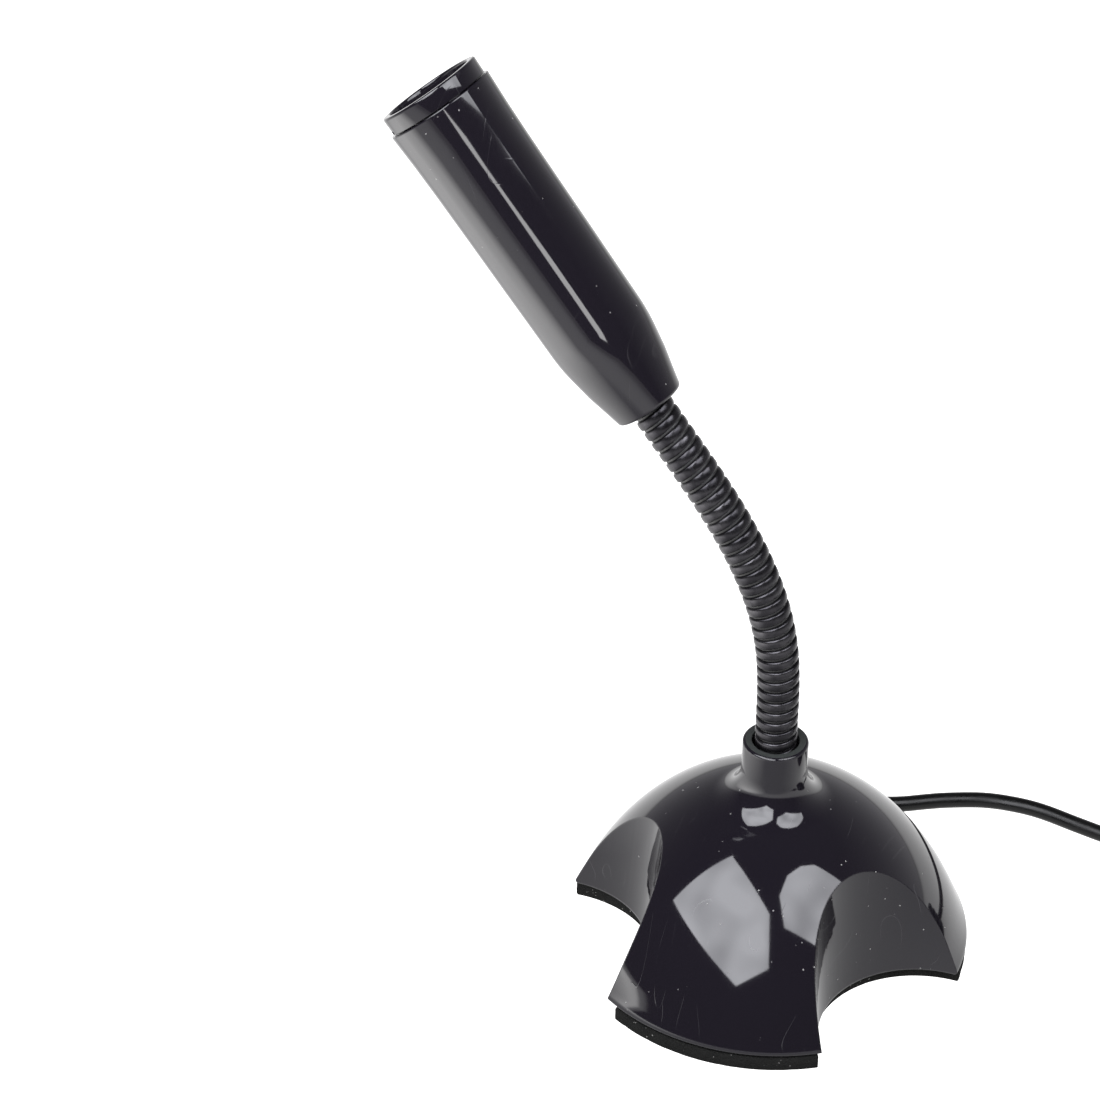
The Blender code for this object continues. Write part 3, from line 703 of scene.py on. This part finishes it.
def make_base_shell():
    """The glossy dome on its three legs, with the collar on top and the bore for the neck."""
    foot, normal, fillet_height = fillet_foot()
    across = COLLAR_RADIUS + COLLAR_FILLET
    rim = 0.45 * MM
    outline = [(0, COLLAR_TOP)] + arc((COLLAR_RADIUS - rim, COLLAR_TOP - rim), rim, 90, 0, 6)
    outline += arc((across, fillet_height), COLLAR_FILLET, 180, 180 + math.degrees(normal), 28)
    outline += dome_line(foot, SKIRT_ANGLE, 56)[1:]
    drop = SKIRT_TOP - SHELL_BOTTOM
    for share in (0.75, 0.5, 0.25):
        outline.append((BASE_RADIUS - drop * share * math.tan(SKIRT_LEAN), SHELL_BOTTOM + drop * share))
    outline += arc((BASE_RADIUS - FOOT_ROUNDING * 1.5, SHELL_BOTTOM + FOOT_ROUNDING), FOOT_ROUNDING,
                   math.degrees(SKIRT_LEAN), -90, 5) + [(0, SHELL_BOTTOM)]
    shell = lathe("shell", outline, gloss_black, 240, closed=False)
    cut(shell, scallop_cutters(0, -1 * MM, 30 * MM))

    high = math.asin((CAVITY_TOP - DOME_CENTRE) / (DOME_TALL - SHELL_WALL))
    inner = BASE_RADIUS - SHELL_WALL / math.cos(SKIRT_LEAN)
    below = SHELL_BOTTOM - 1 * MM
    hollow = [(0, CAVITY_TOP)] + dome_line(high, SKIRT_ANGLE, 16, SHELL_WALL)
    hollow += [(inner, SHELL_BOTTOM), (inner, below), (0, below)]
    cavity = lathe("cavity", hollow, None, 96, closed=False)
    cut(cavity, scallop_cutters(SHELL_WALL, -2 * MM, 31 * MM, 64))
    bore_outline = [(0, 42), (4.25, 42), (3.7, 39.9), (3.7, 31.3), (4.3, 31.3), (4.3, 23), (0, 23)]
    bore = lathe("bore", in_mm(bore_outline), None, 96, closed=False)
    inlet_outline = [(0, 22), (2.25, 22), (2.25, 16), (0, 16)]
    place = Matrix.Translation((0, 0, INLET_HEIGHT)) @ Matrix.Rotation(-math.pi / 2, 4, "X")
    inlet = lathe("inlet", in_mm(inlet_outline), None, 32, place, closed=False)
    cut(shell, [cavity, bore, inlet])
    smooth(shell, 30)
    shell.data.materials.append(collar_black)
    for face in shell.data.polygons:
        if face.center.z > COLLAR_TOP - FACE_DEPTH and face.center.xy.length < COLLAR_RADIUS - 0.5 * MM:
            face.material_index = 1
    carried(shell, "base", "base_shell", slot="gloss_black")
    make_bosses()


def make_bosses():
    """The three hollow posts in the legs, for the base plate's screws."""
    outline = [(2.4, 14.0), (2.4, 5.3), (2.25, 5.0), (1.2, 5.0), (1.2, 11.5)]
    for i, angle in enumerate(LEG_ANGLES, 1):
        place = Matrix.Translation(Vector((math.cos(angle), math.sin(angle), 0)) * BOSS_DISTANCE)
        post = lathe(f"screw_boss_{i}", in_mm(outline), matt_black, 32, place)
        carried(post, "base", slot="gloss_black")


def lobed_outline(radius, extra, turn, arc_steps=90):
    """The base's plan: the circle less its three scallops, which are extra wider."""
    distance, hollow = SCALLOP_DISTANCE, SCALLOP_RADIUS + extra
    meet = math.acos((radius**2 + distance**2 - hollow**2) / (2 * radius * distance))
    inside = math.acos((hollow**2 + distance**2 - radius**2) / (2 * hollow * distance))
    outline = []
    for angle in [scallop + turn for scallop in SCALLOP_ANGLES]:
        centre = Vector((math.cos(angle), math.sin(angle))) * distance
        for k in range(1, arc_steps):
            a = angle + math.pi + inside - 2 * inside * k / arc_steps
            outline.append(centre + Vector((math.cos(a), math.sin(a))) * hollow)
        leg = 2 * math.pi / 3 - 2 * meet
        for k in range(arc_steps + 1):
            a = angle + meet + leg * k / arc_steps
            outline.append(Vector((math.cos(a), math.sin(a))) * radius)
    return outline


def make_foam_mat():
    """The thin foam sheet stuck under the base: a cut edge that bulges and waves slightly."""
    low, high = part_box("foam_mat")
    outline = lobed_outline(MAT_RADIUS, MAT_INSET, MAT_TURN)
    thick = high.z - low.z
    shape = bmesh.new()
    rings = []
    levels = [(0.25, 0.0), (0.05, 0.12), (0.0, 0.5), (0.06, 0.9), (0.22, 1.0)]
    for inset, level in levels:
        ring = []
        for point in outline:
            wave = noise.noise(Vector((point.x, point.y, level * 0.004)) * 700) * 0.10 * MM
            lift = noise.noise(Vector((point.x, point.y, 3)) * 160) * 0.07 * MM if level > 0.5 else 0
            scale = 1 - (inset * MM + max(wave, 0)) / point.length
            height = low.z + thick * level - max(lift, 0)
            ring.append(shape.verts.new((point.x * scale, point.y * scale, height)))
        rings.append(ring)
    count = len(outline)
    for first, second in zip(rings, rings[1:]):
        for i in range(count):
            j = (i + 1) % count
            shape.faces.new((first[i], first[j], second[j], second[i]))
    shape.faces.new(rings[0])
    shape.faces.new(rings[-1])
    bmesh.ops.recalc_face_normals(shape, faces=shape.faces)
    bmesh.ops.triangulate(shape, faces=[face for face in shape.faces if len(face.verts) > 4])
    mesh = bpy.data.meshes.new("foam_sheet")
    shape.to_mesh(mesh)
    shape.free()
    sheet = smooth(new_object("foam_sheet", mesh, foam_black), 40)
    carried(sheet, "base", "foam_mat", slot="foam_black")


def make_strain_relief():
    """The moulded relief in the back scallop: a flange, then a taper with grooves that let it flex."""
    low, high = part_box("strain_relief")
    start, end = low.y / MM, high.y / MM
    outline = [(0, end, 0), (1.55, end, 0.1)]
    for i in range(4):
        along = end - 0.9 - 1.25 * i
        radius = 1.75 + 0.17 * i
        outline += [(radius, along, 0.1), (radius - 0.35, along - 0.12, 0.08),
                    (radius - 0.35, along - 0.5, 0.08), (radius + 0.05, along - 0.62, 0.1)]
    outline += [(2.35, 21.4, 0.15), (3.0, 21.2, 0.3), (3.0, 20.15, 0.1), (1.95, 20.15, 0), (1.95, 17.5, 0),
                (2.7, 17.5, 0.2), (2.7, start, 0.2), (0, start, 0)]
    place = Matrix.Translation((0, 0, (low.z + high.z) / 2)) @ Matrix.Rotation(-math.pi / 2, 4, "X")
    relief = lathe("inlet_relief", in_mm(rounded(outline, 3)), cord_black, 48, place, closed=False)
    carried(relief, "base", "strain_relief", slot="cord_black")


# ---------------------------------------------------------------- neck

WIRE_PITCH = 1.95 * MM
NECK_CREST = 3.38 * MM
WIRE_HALF = (0.62 * MM, 0.79 * MM)  # across the neck, along the neck
WEDGE_RADIUS = 2.66 * MM  # of the wedge wire's helix
NECK_BOTTOM = 17.0 * MM  # of the wires, inside the base
NECK_IN_HEAD = 12.0 * MM  # length of the wires past the last link's middle
STRAIGHT = 1e-5  # a stretch that bends by less, in radians, is straight
HEAD_LEAN = math.radians(39.5)
LEAN_AZIMUTH = math.radians(176)
LINK_LENGTH = 6.9 * MM
ALONG_LEAN = Vector((math.cos(LEAN_AZIMUTH), math.sin(LEAN_AZIMUTH), 0))
NECK_SIDE = Vector((-ALONG_LEAN.y, ALONG_LEAN.x, 0))


def neck_joints():
    """The joints from the base to the head, each as (parent, child, place)."""
    return [(joint["parent"], joint["child"], Vector(joint["pos_m"])) for joint in frame["joints"]]


def tilted(angle):
    """The direction that leans by that angle from straight up."""
    return ALONG_LEAN * math.sin(angle) + Vector((0, 0, math.cos(angle)))


class Stretch:
    """A stretch of the neck's middle line, straight or bent in an even arc."""

    def __init__(self, start, lean, bend, length):
        self.start, self.lean, self.bend, self.length = start, lean, bend, length

    def at(self, distance):
        """(point, direction along, direction across) at a distance from the stretch's start."""
        if abs(self.bend) < STRAIGHT:
            along = tilted(self.lean)
            return self.start + along * distance, along, NECK_SIDE.cross(along)
        radius = self.length / self.bend
        lean = self.lean + distance / radius
        move = ALONG_LEAN * (math.cos(self.lean) - math.cos(lean)) * radius
        rise = Vector((0, 0, math.sin(lean) - math.sin(self.lean))) * radius
        return self.start + move + rise, tilted(lean), NECK_SIDE.cross(tilted(lean))


def neck_stretches():
    """The foot, one stretch across each joint from mid-link to mid-link, and the end inside the head."""
    places = [place for _, _, place in neck_joints()]
    half = LINK_LENGTH / 2
    below = places[0] - Vector((0, 0, half))
    stretches = [Stretch(Vector((0, 0, NECK_BOTTOM)), 0, 0, below.z - NECK_BOTTOM)]
    directions = [Vector((0, 0, 1))] + [(b - a).normalized() for a, b in zip(places, places[1:])]
    directions.append(tilted(HEAD_LEAN))
    leans = [math.atan2(direction.dot(ALONG_LEAN), direction.z) for direction in directions]
    for place, lean, after, direction in zip(places, leans, leans[1:], directions):
        bend = after - lean
        length = 2 * half if abs(bend) < STRAIGHT else half / math.tan(bend / 2) * bend
        stretches.append(Stretch(place - direction * half, lean, bend, length))
    stretches.append(Stretch(places[-1] + tilted(HEAD_LEAN) * half, HEAD_LEAN, 0, NECK_IN_HEAD))
    return stretches


def squared_oval(half_out, half_along, power, count):
    """A section between an oval and a rectangle."""
    points = []
    for i in range(count):
        a = 2 * math.pi * i / count
        c, s = math.cos(a), math.sin(a)
        points.append((half_out * math.copysign(abs(c) ** (2 / power), c),
                       half_along * math.copysign(abs(s) ** (2 / power), s)))
    return points


def wind(name, stretch, done, radius, section, shift, finish, per_turn=30):
    """Wire wound round one stretch of the neck, in phase with the stretches before it."""
    turns = stretch.length / WIRE_PITCH
    steps = max(2, round(turns * per_turn))
    centres = []
    for i in range(steps + 1):
        distance = stretch.length * i / steps
        point, along, across = stretch.at(distance)
        angle = 2 * math.pi * ((done + distance) / WIRE_PITCH + shift)
        out = across * math.cos(angle) + NECK_SIDE * math.sin(angle)
        centres.append((point + out * radius, out, along))
    return sweep(name, finish, centres, section)


def make_neck():
    """Two wires wound together: a broad main one, and a wedge that fills the groove between its turns."""
    chain = neck_joints()
    done = 0.0
    main = squared_oval(*WIRE_HALF, 4.0, 16)
    wedge = in_mm([(0.30, -0.16), (0.34, 0.0), (0.30, 0.16), (0.1, 0.22), (-0.45, 0.06), (-0.45, -0.06),
                   (0.1, -0.22)])
    stretches = neck_stretches()
    for i, stretch in enumerate(stretches):
        wires = [wind(f"neck_wire_{i}", stretch, done, NECK_CREST - WIRE_HALF[0], main, 0.0, wire_black),
                 wind(f"neck_wedge_{i}", stretch, done, WEDGE_RADIUS, wedge, 0.5, wedge_black, 24)]
        done += stretch.length
        end = stretch.at(stretch.length)[0]
        for wire in wires:
            if i == 0:
                carried(wire, "base", "neck_foot", slot="black_steel")
            elif i > len(chain):
                carried(wire, "head", "neck_head_end", slot="black_steel")
            else:
                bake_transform(wire)
                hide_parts(f"neck_link_{i}" if i < len(chain) else "neck_head_end")


# ---------------------------------------------------------------- head

TAIL_OFFSET = 3.8 * MM  # from the last joint to the barrel's tail
NOTCH_TURN = math.radians(46)  # of the ring's key notch about the head's axis


def head_place():
    """The matrix that stands a piece on the last joint, with its Z along the head."""
    place = neck_joints()[-1][2]
    turn = Matrix.Rotation(LEAN_AZIMUTH, 4, "Z") @ Matrix.Rotation(HEAD_LEAN, 4, "Y")
    return Matrix.Translation(place) @ turn @ Matrix.Translation((0, 0, TAIL_OFFSET))


def make_barrel():
    """The slim tube: a long gentle taper, a soft shoulder, and a conical tail with a rounded end."""
    outline = [(8.28, 55.48, 0.1), (8.69, 55.46, 0.22), (8.46, 50.0, 0), (8.33, 44.4, 0), (8.24, 37.0, 0),
               (8.16, 28.0, 0), (8.07, 20.4, 0), (7.99, 12.2, 2.6), (7.0, 6.3, 0), (6.1, 2.5, 0),
               (5.55, 0.0, 0.55), (3.7, 0.0, 0.15), (3.7, 4.6, 0), (4.3, 4.6, 0), (4.3, 6.5, 0),
               (6.37, 14, 0), (6.77, 55.48, 0)]
    barrel = lathe("barrel_shell", in_mm(rounded(outline, 10)), head_black, 192, head_place(), angle=40)
    carried(barrel, "head", "head_barrel", slot="gloss_black")


def make_front_ring():
    """The separate ring at the mouth, narrower than the barrel, with a small key notch at the seam."""
    outline = [(8.25, 58.4, 0.42), (8.2, 55.62, 0.1), (6.47, 55.6, 0), (6.47, 52.5, 0), (5.57, 52.5, 0),
               (5.57, 56.3, 0), (6.9, 56.3, 0), (6.95, 58.4, 0.3)]
    ring = lathe("mouth_ring", in_mm(rounded(outline, 6)), head_black, 192)
    notch = box("notch", (0.9 * MM, 1.5 * MM, 0.9 * MM), (8.25 * MM, 0, 55.8 * MM))
    cut(ring, [notch])
    smooth(ring, 40)
    ring.data.transform(head_place() @ Matrix.Rotation(NOTCH_TURN, 4, "Z"))
    carried(ring, "head", "front_ring", slot="satin_black")


def make_grille():
    """A moulded disc with rings of round holes, softened at their edges."""
    outline = rounded([(0, 57.1, 0), (6.55, 57.1, 0.2), (6.55, 56.6, 0), (0, 56.6, 0)], 4)
    disc = lathe("mouth_grille", in_mm(outline), satin_black, 96, closed=False)
    drill = in_mm([(0, 58), (0.95, 58), (0.95, 57.12), (0.75, 56.95), (0.75, 56), (0, 56)])
    spacing = 2.3 * MM
    drills = []
    for ring, count in ((0, 1), (1, 6), (2, 12)):
        for i in range(count):
            a = 2 * math.pi * i / count
            place = Matrix.Translation(Vector((math.cos(a), math.sin(a), 0)) * spacing * ring)
            drills.append(lathe("drill", drill, None, 20, place, closed=False))
    joined = drills[0]
    with bpy.context.temp_override(active_object=joined, selected_editable_objects=drills):
        bpy.ops.object.join()
    cut(disc, [joined])
    smooth(disc, 30)
    disc.data.transform(head_place())
    carried(disc, "head", "front_grille", slot="satin_black")


def make_foam_disc():
    """The foam behind the grille, with an open-cell skin."""
    low, high = 52.5 * MM, 56.0 * MM
    rim = 0.4 * MM
    outline = [(0, high)] + arc((4.9 * MM, high - rim), rim, 90, 0, 4) + [(5.27 * MM, low), (0, low)]
    disc = lathe("mouth_foam", outline, foam_black, 64, head_place(), closed=False)
    carried(disc, "head", "foam_disc", slot="foam_black")


# ---------------------------------------------------------------- room

FLOOR_HALF = 6.0
FLOOR_GLOW = 1.0  # radiance of the lit floor round the object
FLOOR_PATCH = (-0.18, -0.11, 0)  # middle of the window's light on the floor
FLOOR_SHADE = (0.03, -0.09, 0)  # middle of the soft shadow in front of the object
WINDOW_REACH = 1.6  # how far the windows are from the object
WINDOW_LEFT = [(-72, 68.5), (-62.5, 33), (1, 21), (20, 30), (20, 55)]  # its corners' azimuths, elevations
WINDOW_RIGHT = [(57, 73), (90, 71), (103, 64), (102, 47), (95, 36), (54, 36), (33, 48), (33, 64)]


def make_floor():
    """A white sheet that glows as a lit floor does, most where the window's light falls."""
    mesh = bpy.data.meshes.new("floor")
    corners = [(x * FLOOR_HALF, y * FLOOR_HALF, 0) for x, y in ((-1, -1), (1, -1), (1, 1), (-1, 1))]
    mesh.from_pydata(corners, [], [(0, 1, 2, 3)])
    finish = Finish("floor_white", (0.15, 0.15, 0.15), 0.8)

    def distance(point):
        made = finish.node("ShaderNodeVectorMath", operation="DISTANCE")
        finish.join(finish.place, made.inputs[0])
        made.inputs[1].default_value = point
        return made.outputs["Value"]

    glow = finish.spread(distance((0, 0, 0)), 0.35, 1.2, FLOOR_GLOW, 0.5)
    glow = finish.maths("MULTIPLY", glow, finish.spread(distance(FLOOR_SHADE), 0.05, 0.12, 0.35, 1.0))
    glow = finish.maths("ADD", glow, finish.spread(distance(FLOOR_PATCH), 0.05, 0.17, 3.5, 0))
    seen = finish.node("ShaderNodeLightPath").outputs["Is Camera Ray"]
    finish.join(finish.maths("MAXIMUM", glow, finish.maths("MULTIPLY", seen, 1.5)),
                finish.shader.inputs["Emission Strength"])
    finish.set("Emission Color", (1.0, 0.995, 0.985, 1))
    floor = new_object("floor", mesh, finish.material)
    floor.location.z = -0.00005


def towards(azimuth, elevation):
    """A direction from the object. The azimuth is from -Y towards +X, in degrees."""
    a, e = math.radians(azimuth), math.radians(elevation)
    return Vector((math.sin(a) * math.cos(e), -math.cos(a) * math.cos(e), math.sin(e)))


def window(name, corners, radiance):
    """A bright pane that isn't seen itself. Its corners are directions from the object."""
    mesh = bpy.data.meshes.new(name)
    points = [towards(*corner) * WINDOW_REACH for corner in corners]
    mesh.from_pydata(points, [], [tuple(range(len(points)))])
    finish = Finish(name, (0, 0, 0), 1.0)
    finish.set("Emission Color", (0.94, 0.95, 1.0, 1))
    uneven = finish.spread(finish.noise(1.6, 1), 0.35, 0.65, radiance * 0.8, radiance * 1.25)
    finish.join(uneven, finish.shader.inputs["Emission Strength"])
    pane = new_object(name, mesh, finish.material)
    pane.visible_camera = False


def softbox(name, azimuth, elevation, distance, size, radiance):
    """A flat light that faces the object. radiance is how bright the light's own face looks."""
    data = bpy.data.lights.new(name, "AREA")
    data.shape = "RECTANGLE"
    data.size, data.size_y = size
    data.energy = radiance * math.pi * size[0] * size[1]
    lamp = bpy.data.objects.new(name, data)
    bpy.context.scene.collection.objects.link(lamp)
    direction = towards(azimuth, elevation)
    facing = direction.to_track_quat("Z", "Y").to_matrix().to_4x4()
    lamp.matrix_world = Matrix.Translation(Vector((0, 0, 0.05)) + direction * distance) @ facing
    return lamp


def make_lights():
    """Two windows, and a lamp that only the head's barrel catches."""
    window("window_left", WINDOW_LEFT, 8.0)
    window("window_right", WINDOW_RIGHT, 7.5)
    lamp = softbox("lamp_head", 32, 16.5, 1.4, (0.20, 0.24), 8)
    lit = bpy.data.collections.new("lit_by_lamp_head")
    lit.objects.link(bpy.data.objects["barrel_shell"])
    lamp.light_linking.receiver_collection = lit


def make_world():
    """A dim room that looks white where the camera sees it."""
    world = bpy.data.worlds.new("room")
    world.use_nodes = True
    tree = world.node_tree

    def maths(operation, one, two):
        made = tree.nodes.new("ShaderNodeMath")
        made.operation = operation
        tree.links.new(one, made.inputs[0])
        tree.links.new(two, made.inputs[1])
        return made.outputs["Value"]

    direction = tree.nodes.new("ShaderNodeSeparateXYZ")
    tree.links.new(tree.nodes.new("ShaderNodeTexCoord").outputs["Generated"], direction.inputs["Vector"])
    behind = map_range(tree, direction.outputs["Y"], -0.2, 1.0, 0.05, 0.75)
    low = map_range(tree, direction.outputs["Z"], 0.0, 0.75, 1.0, 0.15)
    camera_ray = tree.nodes.new("ShaderNodeLightPath").outputs["Is Camera Ray"]
    seen = map_range(tree, camera_ray, 0, 1, 0, 1.2)
    level = maths("MAXIMUM", maths("MULTIPLY", behind, low), seen)
    background = tree.nodes["Background"]
    background.inputs["Color"].default_value = (0.97, 0.96, 1.0, 1)
    tree.links.new(level, background.inputs["Strength"])
    bpy.context.scene.world = world
    bpy.context.scene.view_settings.view_transform = "Standard"


make_camera()
cord, cord_length = make_cord()
plug = make_plug()
strap = make_coil_tie()
make_strain_relief()
finish_cad_nodes()
make_base_shell()
make_foam_mat()
make_neck()
make_barrel()
make_front_ring()
make_grille()
make_foam_disc()
make_floor()
make_lights()
make_world()
